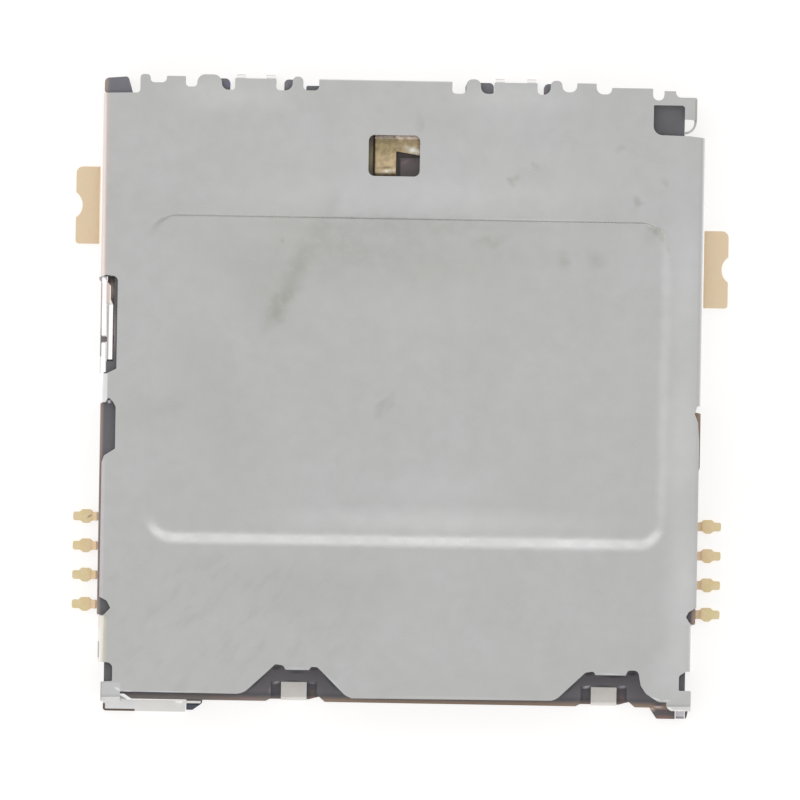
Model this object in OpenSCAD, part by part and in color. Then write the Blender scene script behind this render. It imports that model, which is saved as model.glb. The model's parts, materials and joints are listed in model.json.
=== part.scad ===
// Micro SIM card socket: a folded steel shell over a black moulding, with eight sprung card contacts
// and a two-piece card-detect switch. It stands on the board plane, Z up. The card tray goes in at -Y.

/* [Overall] */
// Width across the outside of the shell's side walls
shell_w = 16.48; // [16.3:0.02:18]
// Depth from the front feet to the rear feet
body_d = 17.44; // [17.2:0.02:19]
// Height from the board to the top of the shell
total_h = 1.45; // [1.4:0.01:1.8]

/* [Shell sheet] */
// Thickness of the steel sheet
sheet_t = 0.15; // [0.1:0.01:0.18]
// Inside radius of every fold
fold_r = 0.08; // [0.04:0.01:0.12]
// Gap from the board to the bottom of the side walls
wall_lift = 0.06; // [0:0.01:0.15]
// How far the front half of the side walls stands in from the rear half
front_inset = 0.14; // [0.1:0.01:0.2]
// Gap between the shell's walls and the moulding
fit_gap = 0.03; // [0.01:0.005:0.05]

/* [Recess] */
// Depth of the pressed recess in the top panel
recess_d = 0.1; // [0.05:0.01:0.12]
// Width of the recess halfway down its side ramps, which keeps the card tray down
recess_w = 14; // [13:0.05:14.1]
// Radius of the recess's corners at its brim
recess_r = 0.92; // [0.7:0.02:1.2]
// Width of the gentle ramp at the front of the recess
front_ramp_w = 0.5; // [0.3:0.01:0.6]
// Width of the ramps at the sides of the recess
side_ramp_w = 0.5; // [0.2:0.01:0.6]
// Width of the steep ramp at the rear of the recess
rear_ramp_w = 0.08; // [0.05:0.01:0.3]

/* [Window] */
// Width of the switch window
window_w = 1.4; // [1:0.02:1.6]
// Length of the switch window
window_l = 1.12; // [0.9:0.02:1.3]
// Corner radius of the switch window
window_r = 0.16; // [0.05:0.01:0.3]

/* [Moulding] */
// Thickness of the moulding's floor
floor_t = 0.35; // [0.3:0.01:0.45]
// Play of the card tray at each side
tray_play = 0.05; // [0.02:0.01:0.1]
// How far the tray's middle lies to the right of the shell's middle
tray_shift = 0.2; // [0:0.01:0.25]
// Thickness of the rear wall that stops the tray
rear_wall = 0.55; // [0.3:0.01:0.8]
// How far the floor shows in front of the top panel
lip_show = 0.17; // [0.05:0.01:0.3]
// How far the front feet reach beyond the floor
foot_reach = 0.34; // [0.2:0.01:0.5]
// Play round each contact in its opening in the floor
slot_play = 0.2; // [0.1:0.01:0.3]

/* [Places behind the floor's front edge] */
// To the front row of card contacts
row_back = 3.37; // [3.3:0.01:3.5]
// To the front-most small terminal
terminal_back = 2.56; // [2.45:0.01:2.65]
// To the end of the front half of the side walls
front_wall_back = 2.26; // [2.1:0.01:2.3]
// To the start of the rear half of the side walls
rear_wall_back = 8.08; // [7.9:0.02:8.2]

/* [Card contacts] */
// Thickness of the contact sheet
lead_t = 0.12; // [0.08:0.01:0.14]
// Height of the leads above the board inside the floor
lead_z = 0.14; // [0.1:0.01:0.18]
// Width of the leads inside the floor
lead_w = 0.2; // [0.12:0.01:0.24]
// Spacing of the contact columns, as on the card
column_pitch = 2.54; // [2.4:0.01:2.6]
// Spacing of the two contact rows, as on the card
row_pitch = 7.62; // [7.4:0.01:7.8]
// Length of a sprung arm from its root to its contact point
arm_l = 2.1; // [1.8:0.05:2.2]
// Width of a sprung arm at its root
arm_w = 0.9; // [0.7:0.02:1]
// Width of a sprung arm at its tip
arm_tip_w = 0.56; // [0.4:0.02:0.7]
// Height of the contact point above the floor when no card is in
arm_rise = 0.55; // [0.3:0.01:0.6]
// Radius of the arm's curved tip, at the middle of the sheet
tip_r = 0.4; // [0.3:0.01:0.5]

/* [Terminals] */
// Spacing of the small solder terminals
terminal_pitch = 0.8; // [0.7:0.01:0.85]
// Width of a terminal's neck and tip
terminal_w = 0.24; // [0.18:0.01:0.3]
// Width of a terminal's bulge
bulge_w = 0.38; // [0.3:0.01:0.45]
// Reach of a terminal beyond the moulding
terminal_reach = 0.68; // [0.6:0.01:0.8]

/* [Switch tabs] */
// Length of the two large solder tabs
tab_l = 2.11; // [1.6:0.01:2.4]
// Reach of the large tabs beyond the shell
tab_reach = 0.68; // [0.5:0.01:0.9]
// Thickness of the switch sheet
switch_t = 0.12; // [0.08:0.01:0.14]
// Radius of the round nick in each large tab's outer edge
tab_nick_r = 0.42; // [0.3:0.01:0.5]
// Depth of that nick
tab_nick_d = 0.18; // [0.1:0.01:0.25]
// Width of the switch finger
finger_w = 0.58; // [0.4:0.01:0.7]
// Width of the switch arm behind the window
arm_bar_w = 0.5; // [0.4:0.01:0.6]
// Height of the finger's tip above the floor when no tray is in
finger_rise = 0.1; // [0.06:0.01:0.2]

/* [Front solder tabs] */
// Width of a front solder tab
nail_w = 0.7; // [0.5:0.01:0.8]
// Length of a front solder tab
nail_l = 0.5; // [0.4:0.01:0.55]
// Width of the pocket at each side of a front solder tab
nail_pocket = 0.28; // [0.2:0.01:0.35]

/* [Hidden] */
$fn = 48;
steel = [0.72, 0.73, 0.72];
black = [0.2, 0.2, 0.22];
gold = [0.87, 0.75, 0.55];
eps = 0.5;
arc_steps = 6;

// Heights
under_z = total_h - sheet_t;
fold_out = fold_r + sheet_t;
body_top = under_z - fold_r;
lead_top = lead_z + lead_t;

// Places along the depth, from the front feet back
front_y = -body_d / 2;
lip_y = front_y + foot_reach;
panel_y = lip_y + lip_show;
rear_foot = 0.12;
rear_y = body_d / 2 - rear_foot;
flap_back = 0.45;
wall_y = rear_y - flap_back;
stop_y = wall_y - rear_wall;
open_y = lip_y + rear_wall_back;
front_wall_y = lip_y + front_wall_back;
front_row = lip_y + row_back;
rear_row = front_row + row_pitch;
first_terminal = lip_y + terminal_back;

// Places across the width
half_w = shell_w / 2;
inner_w = half_w - sheet_t;
front_half = half_w - front_inset;
mid_inset = 0.07;
mid_half = half_w - mid_inset;
side_show = 0.09;
left_panel = side_show - mid_half;
right_panel = mid_half + 0.02;
rib = 0.05;
left_inset = 0.03;
body_half = inner_w - fit_gap;
front_body = front_half - sheet_t - fit_gap;
tray_l = tray_shift - recess_w / 2 - tray_play;
tray_r = tray_shift + recess_w / 2 + tray_play;

// The rear edge's tongues from right to left: right end, left end, set-back from rear_y and corner
// radius, then the notch on its left: set-back of its floor, radius at this tongue and at the next
tongues = [
    [7.4, 7.08, 0.16, 0.02, 0.42, 0.15, 0.15],
    [6.77, 5.65, 0.1, 0.02, 0.28, 0.15, 0.19],
    [5.23, 4.7, -0.01, 0.02, 0.24, 0.18, 0.16],
    [4.3, 3.98, -0.07, 0.14, 0.32, 0.2, 0.12],
    [3.62, 2.45, 0.01, 0.02, 0.32, 0.1, 0.18],
    [2.08, 1.68, -0.07, 0.17, 0.33, 0.12, 0.1],
    [1.3, -2.33, 0, 0.02, 0.31, 0.12, 0.12],
    [-2.76, -3.05, -0.06, 0.13, 0.32, 0.2, 0.1],
    [-3.5, -4.62, 0.01, 0.02, 0.33, 0.08, 0.18],
    [-4.98, -5.65, -0.08, 0.22, 0.26, 0.1, 0.1],
    [-5.96, -6.48, -0.02, 0.02, 0.16, 0.13, 0.1],
    [-6.92, -7.2, -0.06, 0.1, 0.45, 0.1, 0.05]
];
corner_tongue = 0;
long_flap = 6;
foot_flaps = [4, 8];
corner_x = -7.41;

// Middles of the front notches, and how far their tongues and reliefs lie behind the panel's front edge
notch_l = -2.7;
notch_r = 5.74;
tongue_back = 0.71;
relief_back = 0.83;

// Contact columns, in pitches from the tray's middle, and the lanes in which their leads run along
// the side walls
columns = [-1.5, -0.5, 0.5, 1.5];
first_lane = 0.65;
lane_pitch = 0.5;

// Points of an arc round a centre
function arc_points(c, r, a0, sweep, n) =
    [for (i = [0:n]) c + r * [cos(a0 + sweep * i / n), sin(a0 + sweep * i / n)]];

function unit(v) = v / norm(v);

// A corner rounded by a tangent arc, as the points that replace it
function corner_points(a, p, b, r) =
    r <= 0 ? [p] :
    let (
        u = unit(a - p),
        v = unit(b - p),
        half = acos(max(-1, min(1, u * v))) / 2,
        c = p + unit(u + v) * r / sin(half),
        s = p + u * r / tan(half) - c,
        e = p + v * r / tan(half) - c,
        a0 = atan2(s.y, s.x),
        sweep = (atan2(e.y, e.x) - a0 + 540) % 360 - 180
    )
    arc_points(c, r, a0, sweep, arc_steps);

function flat(p) = [p.x, p.y];

// An outline from corners [x, y, radius]
function rounded(list) =
    let (n = len(list))
    [for (i = [0:n - 1])
        each corner_points(flat(list[(i + n - 1) % n]), flat(list[i]), flat(list[(i + 1) % n]),
            list[i].z)];

// The closed outline of a strip of sheet that follows a path in side view
function ribbon(path, t) =
    let (
        n = len(path),
        along = [for (i = [0:n - 1])
            unit(path[min(i + 1, n - 1)] - path[max(i - 1, 0)])],
        side = [for (d = along) [-d.y, d.x] * t / 2]
    )
    concat(
        [for (i = [0:n - 1]) path[i] + side[i]],
        [for (i = [n - 1:-1:0]) path[i] - side[i]]
    );

// A block between two corners
module block(a, b) {
    translate([min(a.x, b.x), min(a.y, b.y), min(a.z, b.z)])
        cube([abs(b.x - a.x), abs(b.y - a.y), abs(b.z - a.z)]);
}

// A side view drawn in Y and Z, extruded across X from x0 to x1
module across(x0, x1) {
    translate([min(x0, x1), 0, 0])
        rotate([90, 0, 90])
            linear_extrude(abs(x1 - x0)) children();
}

// A front view drawn in X and Z, extruded along Y from y0 to y1
module along(y0, y1) {
    translate([0, max(y0, y1), 0])
        rotate([90, 0, 0])
            linear_extrude(abs(y1 - y0)) children();
}

// A plan view extruded between two heights
module plan(z0, z1) {
    translate([0, 0, z0]) linear_extrude(z1 - z0) children();
}

// Shell: the top panel's outline, seen from above

// The two corners of a tongue and the two corners of the notch on its left
function tongue_corners(i) =
    let (
        t = tongues[i],
        next_right = i + 1 < len(tongues) ? tongues[i + 1][0] : corner_x
    )
    [
        [t[0], rear_y - t[2], t[3]],
        [t[1], rear_y - t[2], t[3]],
        [t[1], rear_y - t[4], t[5]],
        [next_right, rear_y - t[4], t[6]]
    ];

rear_corners = [for (i = [0:len(tongues) - 1]) each tongue_corners(i)];

// The rear-right corner: a cut-out for the moulding's block, inside an L bracket
block_l = half_w - 1.44;
block_r = half_w - 0.59;
block_y0 = rear_y - 1.36;
block_y1 = rear_y - 0.55;
bracket_y = rear_y - 0.33;
bracket_end = rear_y - 0.93;
right_wall_end = rear_y - 1.43;
bracket_w = 0.33;

right_corner = [
    [half_w, right_wall_end, 0.02],
    [block_r + 0.15, block_y0 - 0.02, 0.03],
    [block_l, block_y0, 0.25],
    [block_l, block_y1, 0.03],
    [block_r, block_y1, 0.09],
    [block_r, bracket_end, 0.02],
    [block_r + bracket_w, bracket_end, 0.02],
    [block_r + bracket_w, bracket_y, 0.05],
    [tongues[corner_tongue][0], bracket_y, 0.13]
];

// The left edge from the rear corner to the front, with its cut-out and its pointed notch
left_block_y = rear_y - 0.47;
left_edge = [
    [-half_w, left_block_y, 0.02],
    [-half_w, open_y, 0.02],
    [-half_w + 0.24, open_y, 0.02],
    [-half_w + 0.32, open_y + 0.14, 0.04],
    [-half_w + 0.44, open_y + 0.02, 0.03],
    [-half_w + 0.52, open_y - 0.12, 0.06],
    [-half_w + 0.52, open_y - 1.26, 0.04],
    [-half_w + 0.22, open_y - 1.45, 0.08],
    [left_panel, open_y - 1.65, 0],
    [left_panel, front_wall_y + 0.52, 0.02],
    [-front_half + 0.22, front_wall_y + 0.42, 0.12],
    [-front_half + 0.33, front_wall_y + 0.22, 0.05],
    [-front_half + 0.15, front_wall_y + 0.03, 0.1],
    [-front_half, front_wall_y, 0.02]
];

// The right edge from the front to the rear corner
right_edge = [
    [front_half, front_wall_y, 0.02],
    [front_half - 0.1, front_wall_y + 0.1, 0.05],
    [front_half - 0.19, front_wall_y + 0.24, 0.06],
    [front_half - 0.11, front_wall_y + 0.38, 0.05],
    [right_panel, front_wall_y + 0.5, 0.02],
    [right_panel, open_y - 0.8, 0.2],
    [right_panel - 0.04, open_y - 0.27, 0.1],
    [half_w - 0.18, open_y - 0.05, 0.03],
    [half_w - 0.12, open_y + 0.16, 0.03],
    [half_w, open_y + 0.18, 0.02]
];

// The front edge from left to right, with its two notches and the roots of the corner flaps
front_flap_y = lip_y - 0.07;
flap_root = front_flap_y + fold_out + 0.05;
left_flap = [-front_half + 0.1, -front_half + 0.63];
right_flap = [front_half - 0.68, front_half - 0.02];
wall_end = panel_y + 0.84;
corner_back = panel_y + 0.32;
front_edge = [
    [-front_half, wall_end, 0.03],
    [-front_half + 0.41, wall_end - 0.02, 0.16],
    [-front_half + 0.41, corner_back, 0.03],
    [left_flap[0], corner_back - 0.02, 0.03],
    [left_flap[0], flap_root, 0],
    [left_flap[1], flap_root, 0],
    [left_flap[1] + 0.12, panel_y + 0.04, 0.1],
    [notch_l - 1.43, panel_y + 0.03, 0.5],
    [notch_l - 0.68, panel_y + 0.73, 0.1],
    [notch_l - 0.55, panel_y + relief_back + 0.03, 0.1],
    [notch_l - 0.33, panel_y + relief_back - 0.01, 0.08],
    [notch_l - 0.27, panel_y + tongue_back, 0],
    [notch_l + 0.37, panel_y + tongue_back, 0],
    [notch_l + 0.43, panel_y + relief_back - 0.03, 0.06],
    [notch_l + 0.6, panel_y + relief_back - 0.04, 0.08],
    [notch_l + 1.36, panel_y + 0.04, 0.3],
    [notch_l + 1.54, panel_y - 0.04, 0.1],
    [notch_r - 1.36, panel_y - 0.01, 0.4],
    [notch_r - 0.54, panel_y + 0.77, 0.14],
    [notch_r - 0.3, panel_y + relief_back - 0.02, 0.08],
    [notch_r - 0.27, panel_y + tongue_back, 0],
    [notch_r + 0.56, panel_y + tongue_back, 0],
    [notch_r + 0.62, panel_y + relief_back + 0.02, 0.1],
    [notch_r + 0.9, panel_y + relief_back + 0.02, 0.14],
    [notch_r + 0.97, panel_y + 0.44, 0.25],
    [notch_r + 1.12, panel_y + 0.22, 0.3],
    [notch_r + 1.46, panel_y, 0.3],
    [right_flap[0] + 0.02, panel_y, 0.05],
    [right_flap[0] + 0.06, flap_root, 0],
    [right_flap[1], flap_root, 0],
    [right_flap[1], corner_back, 0.03],
    [front_half - 0.35, corner_back, 0.03],
    [front_half - 0.35, wall_end - 0.12, 0.1],
    [front_half - 0.17, wall_end, 0.03],
    [front_half, wall_end, 0.03]
];

module panel_outline() {
    polygon(rounded(concat(front_edge, right_edge, right_corner, rear_corners, left_edge)));
}

// Shell: openings in the panel and walls

leaf_y0 = open_y + 0.8;
leaf_y1 = open_y + 3.45;
leaf_tip_y = leaf_y0 + 0.37;
leaf_room = 0.52;

// The slot over the tray-lock leaf, open through the fold and the wall
module leaf_slot() {
    polygon(rounded([
        [-half_w - 0.1, leaf_y0 + 0.03, 0],
        [-half_w + 0.24, leaf_y0 - 0.02, 0.02],
        [-half_w + leaf_room, leaf_y0 + 0.12, 0.05],
        [-half_w + leaf_room, leaf_y1 - 0.02, 0.14],
        [-half_w + 0.2, leaf_y1 + 0.02, 0.05],
        [-half_w - 0.1, leaf_y1 - 0.08, 0]
    ]));
}

window_x = -0.25;
window_y = stop_y - 1.05;

module window() {
    polygon(rounded([
        [window_x - window_w / 2, window_y - window_l / 2, window_r],
        [window_x + window_w / 2, window_y - window_l / 2, window_r],
        [window_x + window_w / 2, window_y + window_l / 2, window_r],
        [window_x - window_w / 2, window_y + window_l / 2, window_r]
    ]));
}

// The sheet folded down over both sides: an upside-down U seen from the front
module folded_u(half) {
    difference() {
        u_solid(half, total_h, fold_out);
        u_solid(half - sheet_t, under_z, fold_r);
    }
}

module u_solid(half, top, r) {
    foot = half == front_half || half == half_w ? wall_lift : -eps;
    polygon(concat(
        [[-half, foot], [half, foot]],
        arc_points([half - r, top - r], r, 0, 90, arc_steps),
        arc_points([r - half, top - r], r, 90, 90, arc_steps)
    ));
}

// The pressed recess as a solid with sloping sides, its brim at height z
recess_y0 = lip_y + 4.19;
recess_y1 = rear_y - 3.73;

function recess_ring(f, z) =
    let (
        x0 = tray_shift - recess_w / 2 + side_ramp_w * (f - 0.5),
        x1 = tray_shift + recess_w / 2 - side_ramp_w * (f - 0.5),
        y0 = recess_y0 + front_ramp_w * f,
        y1 = recess_y1 - rear_ramp_w * f,
        r = recess_r - side_ramp_w * f
    )
    [for (q = [[x1 - r, y0 + r, -90], [x1 - r, y1 - r, 0], [x0 + r, y1 - r, 90], [x0 + r, y0 + r, 180]])
        for (p = arc_points([q.x, q.y], r, q.z, 90, 8)) [p.x, p.y, z]];

module recess(z) {
    // Slope from the brim down, gentler where the sheet bends in and out
    rings = concat(
        [[-0.12, 0.008]],
        [for (f = [0.14:0.12:1]) [f, -recess_d * (1 - cos(180 * f)) / 2]],
        [[1.15, -recess_d]]
    );
    points = [for (ring = rings) each recess_ring(ring[0], z + ring[1])];
    n = len(recess_ring(0, 0));
    last = len(rings) - 1;
    polyhedron(points, concat(
        [[for (i = [0:n - 1]) i]],
        [for (k = [0:last - 1], i = [0:n - 1])
            [k * n + i, (k + 1) * n + i, (k + 1) * n + (i + 1) % n, k * n + (i + 1) % n]],
        [[for (i = [n - 1:-1:0]) last * n + i]]
    ), convexity = 4);
}

// A flap folded down from the panel at place y, on the side that faces out (out = 1 to the rear, -1 to
// the front), down to height z
module flap(x0, x1, y, z, out) {
    root = 0.12;
    across(x0, x1)
        polygon(concat(
            [[y - out * (fold_out + root), total_h]],
            arc_points([y - out * fold_out, total_h - fold_out], fold_out, 90, -90 * out, arc_steps),
            [[y, z], [y - out * sheet_t, z]],
            arc_points([y - out * fold_out, total_h - fold_out], fold_r, 90 - 90 * out, 90 * out,
                arc_steps),
            [[y - out * (fold_out + root), under_z]]
        ));
}

// A rear flap that is soldered to the board by the two prongs at its bottom corners
prong_w = 0.25;
prong_h = 0.35;

module foot_flap(i) {
    t = tongues[i];
    y = rear_y - t[2];
    kick = body_d / 2 - y;
    flap(t[1], t[0], y, prong_h, 1);
    for (x = [t[1] + 0.03, t[0] - 0.03 - prong_w])
        across(x, x + prong_w)
            polygon([
                [y - sheet_t, prong_h + 0.05],
                [y, prong_h + 0.05],
                [y, prong_h],
                [y + kick, prong_h - 0.18],
                [y + kick, 0],
                [y + kick - sheet_t, 0],
                [y + kick - sheet_t, prong_h - 0.2],
                [y - sheet_t, prong_h - 0.02]
            ]);
}

// The tray-lock leaf: cut from the left wall, stepped inwards in two steps, with a dimple near its free
// end. Its top edge, like that of the strip of wall below it, is sheared on a slant.
leaf_z0 = 0.5;
leaf_z1 = 1.12;
leaf_step = 0.25;
root_step = 0.18;
dimple_r = 0.12;
dimple_z = leaf_z0 + 0.2;
edge_slant = 0.53;
strip_in = 0.05;
strip_top = 0.42;
strip_x = -half_w + strip_in;
nub_y = leaf_tip_y + 0.55;
nub_half = 0.07;
nub_z = 0.18;

// All that lies below a slanted plane through x and z
module below_slant(x, z) {
    x0 = -half_w - eps;
    x1 = x + eps;
    along(leaf_y0 - eps, leaf_y1 + eps)
        polygon([[x0, -eps], [x1, -eps], [x1, z + (x1 - x) * edge_slant], [x0, z + (x0 - x) * edge_slant]]);
}

module lock_leaf() {
    x = -half_w + sheet_t / 2;
    path = [
        [x, leaf_y1 + 0.1],
        [x, leaf_y1 - 0.08],
        [x + root_step, leaf_y1 - 0.3],
        [x + root_step, leaf_y1 - 0.66],
        [x + leaf_step, leaf_y1 - 0.8],
        [x + leaf_step, leaf_tip_y]
    ];
    intersection() {
        plan(leaf_z0, leaf_z1) polygon(ribbon(path, sheet_t));
        below_slant(x + leaf_step + sheet_t / 2, leaf_z1);
    }
    translate([x + leaf_step + dimple_r - sheet_t / 2, nub_y, dimple_z])
        sphere(dimple_r);
}

// The strip of wall below the leaf, pressed in a little, with a notch for a nub of the moulding
module wall_strip() {
    difference() {
        intersection() {
            block([strip_x, leaf_y0 - 0.03, wall_lift], [strip_x + sheet_t, leaf_y1 + 0.02, total_h]);
            below_slant(strip_x + sheet_t, strip_top);
        }
        block([-half_w, nub_y - nub_half - fit_gap, nub_z - fit_gap],
            [strip_x + sheet_t + eps, nub_y + nub_half + fit_gap, total_h]);
    }
}

// The wall folded down from the L bracket, with a thinned end that curls back to the panel
curl_t = 0.06;
curl_h = 0.55;

module corner_wall() {
    x = block_r + bracket_w;
    z = floor_t + 0.1;
    centre = [block_r, bracket_end - 0.06];
    along(bracket_end, bracket_y - 0.04)
        polygon(concat(
            [[x - bracket_w, total_h]],
            arc_points([x - fold_out, total_h - fold_out], fold_out, 90, -90, arc_steps),
            [[x, z], [x - sheet_t, z]],
            arc_points([x - fold_out, total_h - fold_out], fold_r, 0, 90, arc_steps),
            [[x - bracket_w, under_z]]
        ));
    plan(z, z + curl_h)
        polygon(concat(
            [[x, bracket_end + 0.1]],
            arc_points(centre, bracket_w, 0, -85, arc_steps),
            arc_points(centre, bracket_w - curl_t, -85, 85, arc_steps),
            [[x - curl_t, bracket_end + 0.1]]
        ));
}

// The front corners: flaps folded down, with a foot on the board at the left
foot_l_end = -5.7;
leg_x = right_flap[1] - 0.16;
leg_w = 0.22;
leg_front = front_y + 0.05;
right_flap_z = floor_t + 0.1;
clamp_z = 0.14;
clamp_l = 0.42;

module front_feet() {
    y = front_flap_y;
    flap(left_flap[0], left_flap[1], y, sheet_t / 2, -1);
    // Joggled end of the left foot, which reaches over a bridge of the moulding
    along(lip_y - 0.1, lip_y - fit_gap)
        polygon([
            [foot_l_end - 0.3, 0.02],
            [foot_l_end - 0.12, 0.02],
            [foot_l_end + 0.02, clamp_z],
            [foot_l_end + clamp_l, clamp_z],
            [foot_l_end + clamp_l, clamp_z + sheet_t],
            [foot_l_end - 0.08, clamp_z + sheet_t],
            [foot_l_end - 0.3, 0.12]
        ]);
    plan(0, sheet_t)
        polygon(rounded([
            [left_flap[0] + 0.05, front_y, 0.08],
            [foot_l_end, front_y, 0.03],
            [foot_l_end, lip_y - fit_gap, 0.03],
            [left_flap[1] + 0.2, lip_y - fit_gap, 0],
            [left_flap[1], y + sheet_t, 0],
            [left_flap[0] + 0.05, y + sheet_t, 0]
        ]));
    // At the right the flap is short, with a rounded corner, and a narrow leg goes on from it to the board
    intersection() {
        flap(right_flap[0], right_flap[1], y, right_flap_z, -1);
        plan(-eps, total_h + eps)
            polygon(rounded([
                [right_flap[0] - 0.01, y - 0.01, 0.22],
                [right_flap[1] + 0.01, y - 0.01, 0.04],
                [right_flap[1] + 0.01, y + 1, 0],
                [right_flap[0] - 0.01, y + 1, 0]
            ]));
    }
    across(leg_x - leg_w, leg_x)
        polygon([
            [y, right_flap_z + 0.2],
            [y + sheet_t, right_flap_z + 0.2],
            [y + sheet_t, right_flap_z],
            [leg_front + sheet_t, sheet_t],
            [leg_front + sheet_t, 0],
            [leg_front, 0],
            [leg_front, sheet_t + 0.05]
        ]);
}

// Openings in the side walls for the large tabs
leaf_to_tab = 0.87;
open_to_tab = 2.85;
tab_l_y = leaf_y1 + leaf_to_tab + tab_l / 2;
tab_r_y = open_y + open_to_tab + tab_l / 2;
tab_gap = 0.06;

module wall_openings() {
    block([-half_w - eps, tab_l_y - tab_l / 2 - tab_gap, -eps],
        [-inner_w + 0.01, tab_l_y + tab_l / 2 + tab_gap, lead_top + tab_gap]);
    block([half_w + eps, tab_r_y - tab_l / 2 - tab_gap, -eps],
        [inner_w - 0.01, tab_r_y + tab_l / 2 + tab_gap, lead_top + tab_gap]);
}

module shell() {
    color(steel) {
        difference() {
            union() {
                intersection() {
                    union() {
                        along(open_y, rear_y + eps) folded_u(half_w);
                        along(wall_end - 0.1, front_wall_y) folded_u(front_half);
                        // The panel between the side openings and at the front corners
                        block([-half_w, front_wall_y, under_z], [half_w, open_y, total_h]);
                        block([fold_out - front_half, front_wall_y - eps, under_z],
                            [front_half - fold_out, open_y + eps, total_h]);
                        block([-front_half, panel_y - eps, under_z],
                            [front_half, wall_end - 0.1, total_h]);
                        block([fold_out - front_half, wall_end - eps, under_z],
                            [front_half - fold_out, wall_end + eps, total_h]);
                    }
                    plan(-eps, total_h + eps) panel_outline();
                }
                recess(under_z);
            }
            recess(total_h);
            plan(-eps, total_h + eps) leaf_slot();
            plan(under_z - 0.3, total_h + eps) window();
            wall_openings();
        }
        flap(tongues[long_flap][1], tongues[long_flap][0], rear_y, under_z - 0.45, 1);
        for (i = foot_flaps)
            foot_flap(i);
        front_feet();
        corner_wall();
        lock_leaf();
        wall_strip();
    }
}

// Leads inside the floor, shared by the contacts and the moulding

// A flat lead of width w that follows corners in plan
module lead(points, w) {
    for (i = [0:len(points) - 2]) {
        a = points[i];
        b = points[i + 1];
        block([min(a.x, b.x) - w / 2, min(a.y, b.y) - w / 2, lead_z],
            [max(a.x, b.x) + w / 2, max(a.y, b.y) + w / 2, lead_top]);
    }
}

root_l = 0.4;
lead_gap = 0.07;

// Contact i: c1 to c4 in the rear row from left to right, c5 to c8 in the front row
function column_x(i) = tray_shift + columns[i % 4] * column_pitch;
function row_y(i) = i < 4 ? rear_row : front_row;
function side_of(i) = columns[i % 4] < 0 ? -1 : 1;
function is_outer(i) = abs(columns[i % 4]) > 1;

// Terminals from rear to front: rear outer, rear inner, front outer, front inner
function terminal_y(i) =
    first_terminal + terminal_pitch * ((i < 4 ? 2 : 0) + (is_outer(i) ? 1 : 0));

module contact_root(i) {
    y = row_y(i) - arm_l;
    block([column_x(i) - arm_w / 2, y - root_l, lead_z], [column_x(i) + arm_w / 2, y, lead_top]);
}

module contact_lead(i) {
    s = side_of(i);
    outer = is_outer(i);
    y_root = row_y(i) - arm_l - root_l / 2;
    y_run = outer ? y_root : y_root - root_l / 2 - lead_w / 2 - lead_gap;
    lane = outer ? 1 : i < 4 ? 2 : 0;
    x_run = s * (mid_half - first_lane - lane * lane_pitch);
    difference() {
        lead([
            [column_x(i), y_root],
            [column_x(i), y_run],
            [x_run, y_run],
            [x_run, terminal_y(i)],
            [s * mid_half, terminal_y(i)]
        ], lead_w);
        block([s * mid_half, terminal_y(i) - 1, 0], [s * (mid_half + 1), terminal_y(i) + 1, total_h]);
    }
}

// A terminal outside the moulding, running to +X from x = 0
module terminal() {
    n = terminal_w / 2;
    b = bulge_w / 2;
    drop = 0.1;
    intersection() {
        plan(-eps, lead_top + eps)
            polygon(rounded([
                [0, -n, 0],
                [0.16, -n, 0.04],
                [0.25, -b, 0.08],
                [0.39, -b, 0.08],
                [0.48, -n, 0.06],
                [terminal_reach, -n, 0.06],
                [terminal_reach, n, 0.06],
                [0.5, n, 0.05],
                [0.43, b, 0.06],
                [0.2, b, 0.06],
                [0.13, n, 0.05],
                [0, n, 0]
            ]));
        along(-eps, eps)
            polygon([
                [0, lead_z],
                [drop, 0],
                [terminal_reach + eps, 0],
                [terminal_reach + eps, lead_t],
                [drop + 0.06, lead_t],
                [0.04, lead_top],
                [0, lead_top]
            ]);
    }
}

// The sprung arm in side view: a straight ramp, then a curve over the contact point
function arm_path(l, top) =
    let (
        z0 = lead_z + lead_t / 2,
        cz = top - lead_t / 2 - tip_r,
        reach = norm([l, cz - z0]),
        ramp = atan2(cz - z0, l) + asin(tip_r / reach),
        over = 50
    )
    concat([[0, z0]], arc_points([l, cz], tip_r, 90 + ramp, -ramp - over, 10));

module contact_arm(i) {
    l = arm_l;
    intersection() {
        translate([0, row_y(i) - l, 0])
            across(column_x(i) - arm_w / 2, column_x(i) + arm_w / 2)
                polygon(ribbon(concat([[-root_l / 2, lead_z + lead_t / 2]],
                    arm_path(l, floor_t + arm_rise)), lead_t));
        plan(-eps, total_h)
            polygon([
                [column_x(i) - arm_w / 2, row_y(i) - l - root_l],
                [column_x(i) + arm_w / 2, row_y(i) - l - root_l],
                [column_x(i) + arm_w / 2, row_y(i) - l + 0.3],
                [column_x(i) + arm_tip_w / 2, row_y(i) - 0.4],
                [column_x(i) + arm_tip_w / 2, row_y(i) + 1],
                [column_x(i) - arm_tip_w / 2, row_y(i) + 1],
                [column_x(i) - arm_tip_w / 2, row_y(i) - 0.4],
                [column_x(i) - arm_w / 2, row_y(i) - l + 0.3]
            ]);
    }
}

module contact(i) {
    color(gold) {
        contact_root(i);
        contact_lead(i);
        contact_arm(i);
        translate([side_of(i) * mid_half, terminal_y(i), 0])
            mirror([side_of(i) < 0 ? 1 : 0, 0, 0])
                terminal();
    }
}

// Card-detect switch

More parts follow.
